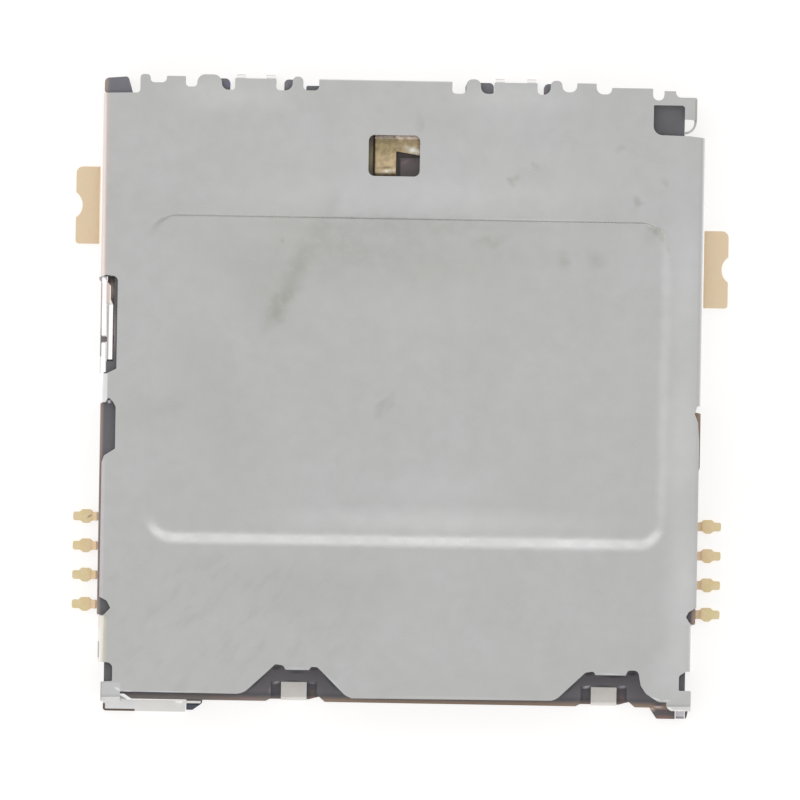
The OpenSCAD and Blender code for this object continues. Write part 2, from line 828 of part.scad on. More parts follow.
// A large solder tab outside the shell, running to +X from x = 0, its middle at y = 0
module switch_tab() {
    h = tab_l / 2;
    step_in = half_w - body_half;
    intersection() {
        difference() {
            plan(-eps, lead_top + eps)
                polygon(rounded([
                    [0, -h + tab_neck, 0],
                    [step_in + 0.04, -h, 0.02],
                    [step_in + tab_reach, -h, 0.09],
                    [step_in + tab_reach, h, 0.18],
                    [step_in + 0.04, h, 0.02],
                    [0, h - tab_neck, 0]
                ]));
            translate([step_in + tab_reach + tab_nick_r - tab_nick_d, 0, -eps])
                cylinder(r = tab_nick_r, h = 2);
        }
        along(-tab_l, tab_l)
            polygon([
                [0, lead_z],
                [step_in - 0.02, 0],
                [step_in + tab_reach + eps, 0],
                [step_in + tab_reach + eps, switch_t],
                [step_in + 0.04, switch_t],
                [0.04, lead_top],
                [0, lead_top]
            ]);
    }
}

arm_front = window_y + 0.14;
arm_rear = arm_front + arm_bar_w;
arm_flare = 0.1;
flare_l = 0.6;
arm_waist = 0.15;
wide_l = 1.2;
waist_l = 0.2;
finger_x = window_x - window_w / 2 + 0.17 + finger_w / 2;
finger_tip_y = window_y - window_l / 2 + 0.02;
bar_inset = 0.4;
bar_x = body_half - bar_inset;
tab_neck = 0.1;
inner_tab_l = tab_l - 2 * tab_neck;

module spring_lead() {
    // From the tab along the right wall to the rear
    block([bar_x - arm_bar_w / 2, tab_r_y - inner_tab_l / 2, lead_z],
        [body_half, tab_r_y + inner_tab_l / 2, lead_top]);
    lead([[bar_x, tab_r_y], [bar_x, arm_rear - arm_waist - arm_bar_w / 2]], arm_bar_w);
}

module switch_arm() {
    x0 = finger_x - finger_w / 2;
    x1 = finger_x + finger_w / 2;
    plan(lead_z, lead_top)
        polygon([
            [x0, arm_front],
            [x1, arm_front],
            [x1 + flare_l, arm_front - arm_flare],
            [bar_x, arm_front - arm_flare],
            [bar_x, arm_rear - arm_waist],
            [x1 + wide_l, arm_rear - arm_waist],
            [x1 + wide_l - waist_l, arm_rear],
            [x0, arm_rear]
        ]);
}

// The finger in side view: up towards the card opening, then curled down at its tip
curl_r = 0.15;
curl_sweep = 60;

module switch_finger() {
    root = arm_rear;
    top = floor_t + finger_rise;
    r = curl_r;
    start = switch_t;
    run = root - finger_tip_y - r;
    z0 = lead_z + switch_t / 2;
    cz = top - switch_t / 2 - r;
    reach = norm([run, cz - z0]);
    ramp = atan2(cz - z0, run) + asin(r / reach);
    mirror([0, 1, 0])
        translate([0, -root, 0])
            across(finger_x - finger_w / 2, finger_x + finger_w / 2)
                polygon(ribbon(concat([[0, z0], [start, z0 + start * tan(ramp)]],
                    arc_points([run, cz], r, 90 + ramp, -ramp - curl_sweep, 10)), switch_t));
}

module detect_spring() {
    color(gold) {
        translate([body_half, tab_r_y, 0]) switch_tab();
        spring_lead();
        switch_arm();
        switch_finger();
    }
}

// The fixed contact comes in from the front and ends in a pad under the finger's tip
pad_l = 0.4;
pad_under = 0.1;
run_front = 0.5;

module fixed_lead() {
    pad_y = finger_tip_y + pad_under;
    run_y = finger_tip_y - run_front;
    bend_x = tray_l - pad_l / 2;
    block([-body_half, tab_l_y - inner_tab_l / 2, lead_z],
        [bend_x, tab_l_y + inner_tab_l / 2, lead_top]);
    lead([[bend_x, tab_l_y], [bend_x, run_y], [finger_x, run_y], [finger_x, pad_y]], pad_l);
}

module detect_contact() {
    color(gold) {
        translate([-body_half, tab_l_y, 0]) mirror([1, 0, 0]) switch_tab();
        fixed_lead();
    }
}

// Front solder tabs: flush in the floor, with a leg down to the board

nail_t = 0.12;
nail_r = 0.05;
nail_z = floor_t - nail_t;
nail_front = lip_y + 0.03;
nail_back = nail_front + nail_l;
nail_left_x = notch_l - 0.04;
nail_right_x = notch_r - 0.02;

module nail(x) {
    bend = [nail_front + nail_t + nail_r, nail_z - nail_r];
    across(x - nail_w / 2, x + nail_w / 2)
        polygon(concat(
            [[nail_back, nail_z], [nail_back, floor_t]],
            arc_points(bend, nail_t + nail_r, 90, 90, arc_steps),
            [[nail_front, 0], [nail_front + nail_t, 0]],
            arc_points(bend, nail_r, 180, -90, arc_steps)
        ));
}

module front_tab_left() {
    color(steel) nail(nail_left_x);
}

module front_tab_right() {
    color(steel) nail(nail_right_x);
}

// Moulding

module floor_outline() {
    polygon(rounded([
        [-front_body, lip_y + 0.13, 0.05],
        [left_flap[1] + 0.1, lip_y + 0.13, 0.03],
        [left_flap[1] + 0.3, lip_y, 0.05],
        [right_flap[0] - 0.1, lip_y, 0.05],
        [right_flap[0] + 0.05, lip_y + 0.13, 0.03],
        [front_body, lip_y + 0.13, 0.05],
        [front_body, front_wall_y, 0.05],
        [mid_half, front_wall_y + 0.04, 0.03],
        [mid_half, open_y - 1.7, 0],
        [mid_half + rib, open_y - 1.5, 0],
        [mid_half + rib, open_y - 0.03, 0.03],
        [body_half, open_y, 0.03],
        [body_half, block_y0 - 0.05, 0.03],
        [block_r, block_y0 - 0.05, 0.03],
        [block_r, wall_y, 0.08],
        [-body_half, wall_y, 0.05],
        [-body_half, open_y, 0.03],
        [left_inset - mid_half, open_y - 0.03, 0.03],
        [left_inset - mid_half, front_wall_y + 0.04, 0.03],
        [-front_body, front_wall_y, 0.05]
    ]));
}

// Bosses that carry the rear lobes and guide the rear flaps: left end, right end
bosses = [[-5.64, -4.76], [-3.28, -2.84], [1.66, 2.43], [3.8, 4.24]];

module rear_bosses() {
    for (b = bosses)
        plan(0, body_top)
            polygon(rounded([
                [b[0], wall_y - 0.1, 0],
                [b[1], wall_y - 0.1, 0],
                [b[1], rear_y - 0.02, 0.12],
                [b[0], rear_y - 0.02, 0.12]
            ]));
    // Ledge inside the long flap
    plan(0, body_top)
        polygon(rounded([
            [tongues[long_flap][1] - 0.35, wall_y - 0.1, 0],
            [tongues[long_flap][0] - 0.05, wall_y - 0.1, 0],
            [tongues[long_flap][0] - 0.05, rear_y - sheet_t - fit_gap, 0.05],
            [tongues[long_flap][1] - 0.35, rear_y - sheet_t - fit_gap, 0.05]
        ]));
    // Corner block at the rear left, behind the end of the side wall
    plan(0, body_top)
        polygon(rounded([
            [-mid_half, left_block_y + fit_gap, 0.03],
            [-body_half, left_block_y + fit_gap, 0],
            [-body_half, left_block_y - 0.2, 0],
            [corner_x, left_block_y - 0.2, 0],
            [corner_x, left_block_y + 0.02, 0],
            [corner_x - 0.13, rear_y - 0.01, 0.06],
            [-mid_half, rear_y - 0.06, 0.12]
        ]));
}

// Feet in front of the floor
block_h = 0.3;
bridge_h = clamp_z - 0.04;

module front_blocks() {
    difference() {
        plan(0, block_h)
            polygon(rounded([
                [foot_l_end + fit_gap, lip_y + 0.1, 0],
                [foot_l_end + fit_gap, front_y + 0.06, 0.02],
                [foot_l_end + 0.2, front_y + 0.06, 0.04],
                [foot_l_end + 0.45, lip_y - 0.1, 0.02],
                [foot_l_end + 0.48, lip_y + 0.1, 0]
            ]));
        // Low bridge under the shell's joggled foot
        block([foot_l_end, lip_y - 0.13, bridge_h], [foot_l_end + 1, lip_y, total_h]);
    }
    difference() {
        plan(0, block_h)
            polygon(rounded([
                [right_flap[0] - 0.48, lip_y + 0.1, 0],
                [right_flap[0] - 0.42, lip_y - 0.05, 0.03],
                [right_flap[0] - 0.25, front_y + 0.04, 0.06],
                [right_flap[1] - 0.1, front_y + 0.04, 0.08],
                [right_flap[1] - 0.06, lip_y - 0.1, 0.03],
                [right_flap[1] - 0.06, lip_y + 0.2, 0]
            ]));
        // Room for the leg of the shell
        block([leg_x - leg_w - fit_gap, front_y, -eps],
            [leg_x + fit_gap, front_flap_y + sheet_t + fit_gap, total_h]);
    }
}

// Length of the root that lies bare in the opening, where the arm starts to rise
arm_rise_room = 0.02;

module contact_openings() {
    for (i = [0:7]) {
        y = row_y(i) - arm_l - arm_rise_room;
        block([column_x(i) - arm_w / 2 - slot_play, y, -eps],
            [column_x(i) + arm_w / 2 + slot_play, row_y(i) + tip_r + slot_play, floor_t + eps]);
    }
}

// Set-backs of the floor's front edge round the front solder tabs and at the right end of their
// pockets, and the floor of the pockets
lip_back = 0.06;
pocket_back = 0.14;
pocket_floor = 0.08;

module nail_room(x) {
    half = nail_w / 2;
    side = half + nail_pocket;
    // The front edge stands back between the pockets
    plan(-eps, total_h)
        polygon([
            [x - side - 0.14, lip_y - eps],
            [x - side - 0.14, lip_y],
            [x - side - 0.02, lip_y + lip_back],
            [x + half + 0.06, lip_y + lip_back],
            [x + side + 0.06, lip_y + pocket_back],
            [x + side + 0.22, lip_y],
            [x + side + 0.22, lip_y - eps]
        ]);
    block([x - half, lip_y - eps, -eps], [x + half, nail_front + nail_t, floor_t + eps]);
    block([x - half, lip_y, nail_z], [x + half, nail_back, floor_t + eps]);
    block([x - half, lip_y, nail_z - nail_r], [x + half, nail_front + nail_t + nail_r, floor_t]);
    for (s = [-1, 1])
        across(x + s * half, x + s * side)
            polygon([
                [lip_y - eps, pocket_floor],
                [nail_back - 0.07, pocket_floor],
                [nail_back + 0.03, floor_t],
                [nail_back + 0.03, floor_t + eps],
                [lip_y - eps, floor_t + eps]
            ]);
}

switch_floor = 0.07;
finger_gap = 0.05;
channel_gap = 0.08;

module switch_room() {
    // Channel for the switch arm, wider behind the window
    x0 = finger_x - finger_w / 2 - finger_gap;
    block([x0, arm_front - arm_flare - channel_gap, switch_floor],
        [tray_r, arm_rear - arm_waist + channel_gap, floor_t + eps]);
    block([x0, arm_front, switch_floor],
        [finger_x + finger_w / 2 + wide_l + channel_gap, arm_rear + channel_gap, floor_t + eps]);
    // Well round the finger
    block([x0, finger_tip_y - 0.1, lead_z],
        [finger_x + finger_w / 2 + 0.12, arm_front + 0.2, floor_t + eps]);
}

// Length of the opening in the side wall for the leaf's dimple, and play at the leaf's tip and dimple
leaf_mouth = 1.3;
tip_play = 0.05;
dimple_play = 0.08;

module housing() {
    color(black)
        difference() {
            union() {
                difference() {
                    plan(0, body_top) floor_outline();
                    // Space for the card tray, open at the front
                    block([tray_l, lip_y - 1, floor_t], [tray_r, stop_y, total_h]);
                    // The front walls stand back from the corner flaps
                    block([-half_w, lip_y - 1, floor_t], [half_w, corner_back - 0.04, total_h]);
                    // Room for the lock leaf, for its dimple and for the strip of wall below it
                    block([-half_w, leaf_y0 + 0.02, floor_t],
                        [strip_x + sheet_t + fit_gap, leaf_y1 - 0.02, total_h]);
                    block([-half_w, leaf_tip_y - tip_play, floor_t],
                        [-half_w + sheet_t + leaf_step + fit_gap, leaf_y1 - 0.02, total_h]);
                    block([-half_w, leaf_tip_y - tip_play, floor_t],
                        [tray_l + eps, leaf_tip_y + leaf_mouth, dimple_z + dimple_r + dimple_play]);
                    block([-half_w, leaf_y0 - 0.08, -eps],
                        [strip_x + sheet_t + fit_gap, leaf_y1 + 0.08, floor_t + eps]);
                }
                // Nub that snaps into the notch of that strip
                block([strip_x + 0.02, nub_y - nub_half, nub_z],
                    [strip_x + sheet_t + 0.1, nub_y + nub_half, nub_z + 0.1]);
                // Filled corner below the cut-out at the rear right
                block([block_l - 0.05, block_y0 - 0.05, 0], [tray_r + 0.1, stop_y + 0.1, body_top]);
                rear_bosses();
                front_blocks();
            }
            contact_openings();
            for (i = [0:7]) {
                contact_root(i);
                contact_lead(i);
            }
            nail_room(nail_left_x);
            nail_room(nail_right_x);
            switch_room();
            spring_lead();
            switch_arm();
            fixed_lead();
        }
}

shell();
housing();
contact(0);  // contact_c1
contact(1);  // contact_c2
contact(2);  // contact_c3
contact(3);  // contact_c4
contact(4);  // contact_c5
contact(5);  // contact_c6
contact(6);  // contact_c7
contact(7);  // contact_c8
detect_spring();
detect_contact();
front_tab_left();
front_tab_right();
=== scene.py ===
# The looks of a micro SIM card socket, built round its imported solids. Lengths are in metres, but in
# millimetres in the tables of marks and in the materials.
import json
import math

import bmesh
import bpy
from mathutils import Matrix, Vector


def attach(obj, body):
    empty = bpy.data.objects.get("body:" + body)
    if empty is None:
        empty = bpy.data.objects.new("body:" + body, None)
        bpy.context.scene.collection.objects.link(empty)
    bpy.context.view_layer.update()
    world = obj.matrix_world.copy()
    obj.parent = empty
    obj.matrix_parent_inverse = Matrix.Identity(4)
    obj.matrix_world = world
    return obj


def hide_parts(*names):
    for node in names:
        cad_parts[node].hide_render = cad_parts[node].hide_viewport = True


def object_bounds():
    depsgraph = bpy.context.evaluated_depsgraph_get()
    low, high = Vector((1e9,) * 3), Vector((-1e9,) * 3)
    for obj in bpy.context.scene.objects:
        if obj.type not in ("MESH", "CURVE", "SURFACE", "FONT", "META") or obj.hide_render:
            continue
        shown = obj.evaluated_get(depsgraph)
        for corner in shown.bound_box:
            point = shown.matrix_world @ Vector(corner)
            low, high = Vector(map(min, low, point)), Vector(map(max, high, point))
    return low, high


MM = 0.001

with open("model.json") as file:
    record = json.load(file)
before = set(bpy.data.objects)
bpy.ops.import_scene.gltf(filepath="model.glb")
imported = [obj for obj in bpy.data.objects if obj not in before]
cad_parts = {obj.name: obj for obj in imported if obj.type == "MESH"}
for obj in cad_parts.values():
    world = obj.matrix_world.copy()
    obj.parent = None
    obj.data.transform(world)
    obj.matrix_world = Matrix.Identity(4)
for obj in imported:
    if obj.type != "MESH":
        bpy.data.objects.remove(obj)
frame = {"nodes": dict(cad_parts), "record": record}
cad_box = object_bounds()
scene = bpy.context.scene
scene.view_settings.view_transform = "Standard"

# Camera: straight above the socket, turned by the photograph's small roll
VIEW_WIDTH = 21.858 * MM
VIEW_CENTRE = (0.021 * MM, -0.101 * MM)
VIEW_ROLL = math.radians(1.0)
LENS = 800
SENSOR = 36
NEAR, FAR = 0.001, 10

camera_data = bpy.data.cameras.new("camera")
camera_data.type = "PERSP"
camera_data.sensor_width = SENSOR
camera_data.lens = LENS
camera_data.clip_start = NEAR
camera_data.clip_end = FAR
camera = bpy.data.objects.new("camera", camera_data)
camera.location = (*VIEW_CENTRE, VIEW_WIDTH * LENS / SENSOR)
camera.rotation_euler = (0, 0, VIEW_ROLL)
scene.collection.objects.link(camera)
scene.camera = camera

# Smudges of the shell, with painted shade and painted highlights among them: start, end, half width,
# depth (below 0 for lighter)
STAINS = [
    # The long stain across the recess
    ((-2.35, 4.4), (-3.5, 2.1), 0.5, 0.12),
    ((-3.0, 2.8), (-3.7, 1.8), 0.38, 0.14),
    ((-1.6, 5.8), (-2.3, 4.6), 0.45, 0.07),
    # Small stains
    ((1.9, 4.2), (3.0, 4.35), 0.22, 0.11),
    ((0.35, 7.7), (0.5, 7.2), 0.16, 0.08),
    ((-0.65, -0.7), (-0.15, 0.1), 0.18, 0.12),
    ((-7.1, -0.7), (-5.6, -0.2), 0.5, 0.06),
    # Painted shade that dulls the rear right corner of the recess
    ((6.65, 4.78), (7.12, 4.45), 0.17, 0.2),
    ((6.95, 4.7), (7.22, 4.3), 0.12, 0.12),
    ((7.12, 4.6), (7.24, 4.05), 0.13, 0.14),
    # Painted light and painted shade along the line at the rear of the recess
    ((-6.4, 4.75), (-3.8, 4.87), 0.06, -0.02),
    ((-4.2, 4.86), (-1.8, 4.86), 0.05, -0.03),
    ((-2.1, 4.86), (-0.9, 4.84), 0.05, 0.15),
    ((-0.7, 4.87), (0.3, 4.85), 0.05, 0.08),
    ((0.4, 4.86), (6.5, 4.86), 0.05, -0.12),
    # Broad drifts of tone, some of them painted light and painted shade
    ((-6.6, 8.15), (-2.7, 8.15), 0.7, -0.12),
    ((1.2, 8.15), (4.7, 8.15), 0.7, -0.12),
    ((-6.8, 6.3), (7.4, 6.3), 2.4, -0.04),
    ((-6.8, 5.5), (7.4, 5.5), 0.8, -0.07),
    # Painted shade on the recess in front of its rear line
    ((-5.8, 3.8), (4.2, 3.8), 1.5, 0.085),
    ((-5.9, 4.66), (5.6, 4.66), 0.38, 0.08),
    ((-2.4, 4.5), (-1.2, 3.9), 0.7, 0.06),
    ((-4.4, 3.3), (-2.9, 1.9), 1.0, 0.06),
    ((-5.4, 1.2), (-4.4, -1.6), 1.4, 0.06),
    # Painted highlight above the front slope of the recess
    ((-4.8, -3.4), (6.6, -3.4), 0.55, -0.17),
    ((-5.8, -5.3), (1.2, -5.3), 1.1, 0.045),
    # Painted light along the right margin
    ((7.75, 6.0), (7.75, -0.4), 0.75, -0.12),
    ((7.7, 0.7), (7.7, -3.2), 0.8, -0.16),
    ((7.8, -3.0), (7.8, -7.0), 0.75, -0.17),
    ((7.7, -6.8), (7.45, -7.8), 0.8, -0.12),
    # Painted highlight above the front slope at the right
    ((3.2, -3.95), (6.2, -3.95), 0.35, -0.09),
    ((-1.0, -2.6), (3.0, -2.4), 0.8, -0.05),
    # Painted highlights along the front edges, the corners and the tongue rims
    ((-7.62, -8.06), (-7.45, -8.15), 0.05, -0.5),
    ((-7.38, -8.17), (-7.12, -8.17), 0.045, -0.5),
    ((-7.1, -8.16), (-5.4, -8.16), 0.03, -0.25),
    ((-6.6, -8.14), (-4.3, -8.14), 0.04, -0.08),
    ((-1.1, -8.185), (4.3, -8.185), 0.045, -0.1),
    ((7.42, -8.34), (7.6, -8.42), 0.04, -0.4),
    ((7.6, -8.43), (8.0, -8.44), 0.03, -0.3),
    ((6.95, -8.07), (7.3, -8.17), 0.04, -0.4),
    ((7.3, -8.17), (7.55, -8.16), 0.04, -0.3),
    ((-2.93, -7.47), (-2.4, -7.47), 0.07, -0.15),
    ((5.55, -7.46), (6.25, -7.48), 0.05, -0.2),
    ((-1.95, -7.55), (-1.35, -8.1), 0.06, -0.12),
]

# Round spots of the shell: centre, radius, depth
SPOTS = [
    ((4.43, 3.8), 0.34, 0.13),
    ((5.3, 3.83), 0.37, 0.13),
    ((6.42, 5.35), 0.27, 0.17),
    ((3.0, 5.93), 0.18, 0.18),
    ((3.57, 6.35), 0.14, 0.09),
    ((7.18, 5.92), 0.15, 0.1),
    ((-3.3, 4.25), 0.11, 0.13),
    ((5.9, 6.85), 0.16, 0.09),
    # Partly a faint smudge, partly painted shade that dulls the rear right corner of the recess
    ((6.8, 4.48), 0.42, 0.08),
    # Nicks in the left foot
    ((-7.085, -8.42), 0.055, 0.5),
    ((-6.045, -8.43), 0.05, 0.35),
]

# Tinted zones of the shell, most of them painted highlights and painted shade on bends and edges:
# span in X, span in Y, softness, tint
TINTS = [
    # The left fold and the inset wall in front of it: painted highlights on the bends, and a painted
    # shadow line at the wall's edge
    ((-8.3, -8.02), (3.2, 8.2), 0.06, (1.09, 0.98, 0.95)),
    ((-8.2, -8.02), (-5.7, -1.9), 0.07, (1.15, 1.07, 1.11)),
    ((-7.98, -7.88), (-7.35, -6.15), 0.03, (1.12, 1.07, 0.96)),
    ((-8.15, -8.03), (-7.4, -6.1), 0.015, (1.3, 1.26, 1.24)),
    ((-8.15, -8.07), (-7.25, -6.82), 0.02, (0.55, 0.5, 0.53)),
    ((-8.2, -8.05), (-6.45, -6.12), 0.03, (1.0, 0.9, 0.86)),
    # Painted highlight on the edge between the left openings, painted light on the corner bracket,
    # and a painted shadow line at its left
    ((-8.4, -7.98), (-0.35, 0.47), 0.04, (1.65, 1.64, 1.6)),
    ((-7.97, -7.48), (-8.35, -7.95), 0.04, (1.1, 1.1, 1.13)),
    ((-8.1, -7.985), (-8.45, -7.7), 0.02, (0.82, 0.72, 0.67)),
    # The lock leaf and the strip of wall outside it: painted highlights on both, painted light on the
    # leaf's root, and painted shade in the gap and along the lines outside
    ((-8.16, -8.035), (0.5, 3.1), 0.01, (1.6, 1.6, 1.6)),
    ((-8.04, -7.95), (0.87, 3.1), 0.015, (0.72, 0.64, 0.64)),
    ((-7.95, -7.86), (0.87, 2.35), 0.01, (1.5, 1.48, 1.45)),
    ((-8.05, -7.9), (2.42, 3.1), 0.02, (1.24, 1.13, 1.07)),
    ((-8.3, -8.155), (1.7, 3.1), 0.01, (0.6, 0.5, 0.53)),
    ((-8.3, -8.155), (0.95, 1.7), 0.01, (0.43, 0.42, 0.38)),
    # The right fold and inset wall: a painted shadow line on the fold and painted light on the wall
    ((8.11, 8.16), (-5.7, 7.1), 0.02, (0.97, 0.96, 0.98)),
    ((7.97, 8.02), (-7.4, -6.1), 0.02, (1.04, 1.03, 1.02)),
    # Painted highlight on the middle rear flap's bend, a painted shadow line on the hook at the rear
    # right corner, and painted shade low on the right foot
    ((-2.4, 1.35), (8.6, 8.7), 0.04, (1.4, 1.4, 1.4)),
    ((7.93, 8.0), (7.6, 8.2), 0.02, (0.86, 0.82, 0.78)),
    ((7.6, 8.0), (-8.61, -8.5), 0.02, (0.95, 0.92, 1.0)),
    ((7.6, 8.0), (-8.8, -8.62), 0.02, (0.3, 0.28, 0.3)),
]

# Marks on the moulding, many of them painted shadows and painted light: start, end, half width, tint
MARKS = [
    # Shadowed rims of the left front notch
    ((-4.15, -8.24), (-3.42, -7.58), 0.06, (0.55, 0.55, 0.55)),
    ((-3.35, -7.5), (-3.1, -7.44), 0.09, (0.5, 0.5, 0.5)),
    ((-2.95, -7.58), (-2.35, -7.58), 0.07, (0.55, 0.6, 0.6)),
    ((-2.3, -7.48), (-2.1, -7.48), 0.08, (0.55, 0.57, 0.57)),
    ((-2.02, -7.55), (-1.4, -8.17), 0.08, (0.55, 0.6, 0.62)),
    ((-3.05, -7.83), (-2.45, -7.83), 0.05, (0.55, 0.58, 0.5)),
    # Shadowed rims of the right front notch
    ((4.5, -8.2), (5.1, -7.6), 0.06, (0.55, 0.55, 0.55)),
    ((5.2, -7.5), (5.42, -7.47), 0.09, (0.5, 0.5, 0.5)),
    ((5.6, -7.55), (6.35, -7.55), 0.07, (0.55, 0.55, 0.57)),
    ((6.4, -7.47), (6.6, -7.47), 0.1, (0.5, 0.5, 0.5)),
    ((6.68, -7.6), (6.8, -7.95), 0.06, (0.6, 0.6, 0.6)),
    ((6.85, -8.0), (7.3, -8.22), 0.06, (0.7, 0.7, 0.7)),
    ((5.4, -7.82), (6.1, -7.82), 0.05, (0.55, 0.58, 0.5)),
    # Painted highlights on the rims of the pockets
    ((-3.32, -7.9), (-3.15, -7.86), 0.06, (3.2, 3.2, 3.1)),
    ((-2.33, -7.87), (-2.15, -7.88), 0.05, (2.2, 2.1, 2.2)),
    ((5.15, -7.88), (5.34, -7.83), 0.06, (3.6, 3.6, 3.5)),
    ((6.12, -7.85), (6.33, -7.82), 0.06, (2.5, 2.4, 2.5)),
    ((-3.4, -8.2), (-3.4, -8.0), 0.05, (1.6, 1.5, 1.5)),
    # Brown sides of the pockets
    ((-2.27, -8.05), (-2.2, -8.3), 0.1, (1.5, 1.1, 0.8)),
    ((6.2, -8.1), (6.3, -8.25), 0.1, (1.7, 1.1, 0.9)),
    ((-3.75, -8.3), (-4.3, -8.3), 0.1, (1.1, 1.0, 1.1)),
    # The right foot
    ((7.05, -8.29), (7.4, -8.29), 0.07, (0.5, 0.55, 0.65)),
    ((7.05, -8.36), (7.38, -8.36), 0.045, (1.8, 2.3, 3.0)),
    ((6.98, -8.42), (7.12, -8.46), 0.07, (2.7, 2.6, 2.5)),
    ((7.0, -8.64), (7.7, -8.64), 0.09, (2.0, 1.4, 1.05)),
    # A painted glint beside the left cut-out, and painted light in the deep room of the leaf
    ((-7.905, -0.28), (-7.9, -0.28), 0.07, (9.0, 9.0, 8.8)),
    ((-7.81, 2.35), (-7.81, 0.85), 0.1, (2.3, 1.95, 1.95)),
    ((-7.9, 3.05), (-7.9, 2.5), 0.12, (3.8, 3.6, 3.3)),
    # Gleams round the switch finger
    ((-0.87, 7.05), (-0.87, 6.1), 0.2, (2.1, 2.0, 1.25)),
    ((0.0, 6.35), (0.35, 6.3), 0.35, (1.35, 1.25, 1.3)),
    ((-0.05, 6.35), (0.15, 6.45), 0.07, (1.5, 1.25, 1.5)),
    # Cavities at the rear
    ((-4.83, 8.5), (-4.8, 8.35), 0.07, (1.1, 1.0, 1.6)),
    ((-3.22, 8.5), (-3.24, 8.38), 0.06, (1.5, 1.1, 1.05)),
    ((3.83, 8.45), (3.83, 8.33), 0.06, (1.5, 1.1, 1.05)),
]


# Node helpers. Lengths on the part are in millimetres here.
def rgba(r, g, b):
    return (r, g, b, 1.0)


WHITE = rgba(1, 1, 1)


class Nodes:
    """Adds nodes to one tree and links them."""

    def __init__(self, tree):
        self.tree = tree
        tree.nodes.clear()

    def add(self, kind, inputs=None, **values):
        node = self.tree.nodes.new(kind)
        for name, value in values.items():
            setattr(node, name, value)
        for key, value in (inputs or {}).items():
            if isinstance(value, bpy.types.NodeSocket):
                self.tree.links.new(value, node.inputs[key])
            else:
                node.inputs[key].default_value = value
        return node

    def math(self, operation, a, b):
        return self.add("ShaderNodeMath", {0: a, 1: b}, operation=operation).outputs[0]

    def vector(self, operation, inputs, output="Vector"):
        return self.add("ShaderNodeVectorMath", inputs, operation=operation).outputs[output]

    def product(self, *values):
        total = values[0]
        for value in values[1:]:
            total = self.math("MULTIPLY", total, value)
        return total

    def less(self, *values):
        """1 less the product of the values."""
        return self.math("SUBTRACT", 1.0, self.product(*values))

    def away(self, value):
        """How far the value is from 0."""
        return self.math("ABSOLUTE", value, 0.0)

    def noise(self, vector, scale, detail=2.0, rough=0.5, output="Fac"):
        inputs = {"Vector": vector, "Scale": scale, "Detail": detail, "Roughness": rough}
        return self.add("ShaderNodeTexNoise", inputs).outputs[output]

    def ramp(self, value, low, high, to_low=0.0, to_high=1.0):
        """to_low at low, to_high at high, with a soft step between them."""
        inputs = {0: value, 1: low, 2: high, 3: to_low, 4: to_high}
        node = self.add("ShaderNodeMapRange", inputs, interpolation_type="SMOOTHSTEP")
        return node.outputs[0]

    def span(self, value, low, high, soft):
        """1 between low and high, fading to 0 over soft outside."""
        middle, half = (low + high) / 2, (high - low) / 2
        return self.ramp(self.away(self.math("SUBTRACT", value, middle)), half + soft, half)

    def mix(self, factor, a, b, blend="MIX"):
        inputs = {0: factor, 6: a, 7: b}
        return self.add("ShaderNodeMix", inputs, data_type="RGBA", blend_type=blend).outputs[2]

    def tint(self, factor, colour, by):
        """The colour multiplied by a tint where factor is 1."""
        return self.mix(factor, colour, by, "MULTIPLY")

    def levels(self, red, green, blue):
        return self.add("ShaderNodeCombineColor", {0: red, 1: green, 2: blue}).outputs[0]


def material(name):
    """A new material with its nodes, the place on the part and that place's axes."""
    made = bpy.data.materials.new(name)
    made.use_nodes = True
    n = Nodes(made.node_tree)
    coordinates = n.add("ShaderNodeTexCoord").outputs["Object"]
    place = n.vector("SCALE", {0: coordinates, 3: 1 / MM})
    axes = n.add("ShaderNodeSeparateXYZ", {0: place}).outputs
    return made, n, place, axes


def turned(n, place, middle, angle, size):
    """The place seen from a frame with its own middle, angle and size."""
    inputs = {"Vector": place, "Location": middle, "Rotation": (0, 0, angle), "Scale": size}
    return n.add("ShaderNodeMapping", inputs, vector_type="TEXTURE").outputs[0]


# A streak's frame is this much longer in Z than in plan, so that its height doesn't count
ANY_HEIGHT = 1000


def streak(n, place, start, end, width):
    """A soft smudge along a line from start to end, 1 at its core."""
    a, b = Vector((*start, 0)), Vector((*end, 0))
    along = b - a
    size = (along.length / 2 + width, width, ANY_HEIGHT)
    inner = turned(n, place, (a + b) / 2, math.atan2(along.y, along.x), size)
    return n.ramp(n.vector("LENGTH", {0: inner}, "Value"), 1.0, 0.0)


def spot(n, plan, centre, radius):
    """A soft round smudge, 1 at its centre."""
    return n.ramp(n.vector("DISTANCE", {0: plan, 1: (*centre, 0)}, "Value"), radius, 0.0)


def finish_surface(n, colour, metallic, roughness, relief):
    """The surface itself. No colour is brighter than white, and relief is what the bump takes."""
    shader = n.add(
        "ShaderNodeBsdfPrincipled",
        {
            "Base Color": n.mix(1.0, colour, WHITE, "DARKEN"),
            "Metallic": metallic,
            "Roughness": roughness,
            "Normal": n.add("ShaderNodeBump", relief).outputs[0],
        },
    )
    n.add("ShaderNodeOutputMaterial", {"Surface": shader.outputs[0]})


# Steel: the half width up to which a stain is a line that keeps its place, the strength of lighter
# stains (painted highlights and painted light), the power that takes blue out of dark places, and the
# most blue that light ones gain
LINE_WIDTH = 0.1
LIGHT_STRENGTH = 0.9
YELLOWING = 1.25
BLUE_LIMIT = 1.005
MOTTLE_SLANT = math.radians(50)
MOTTLE_DEPTH = 0.045


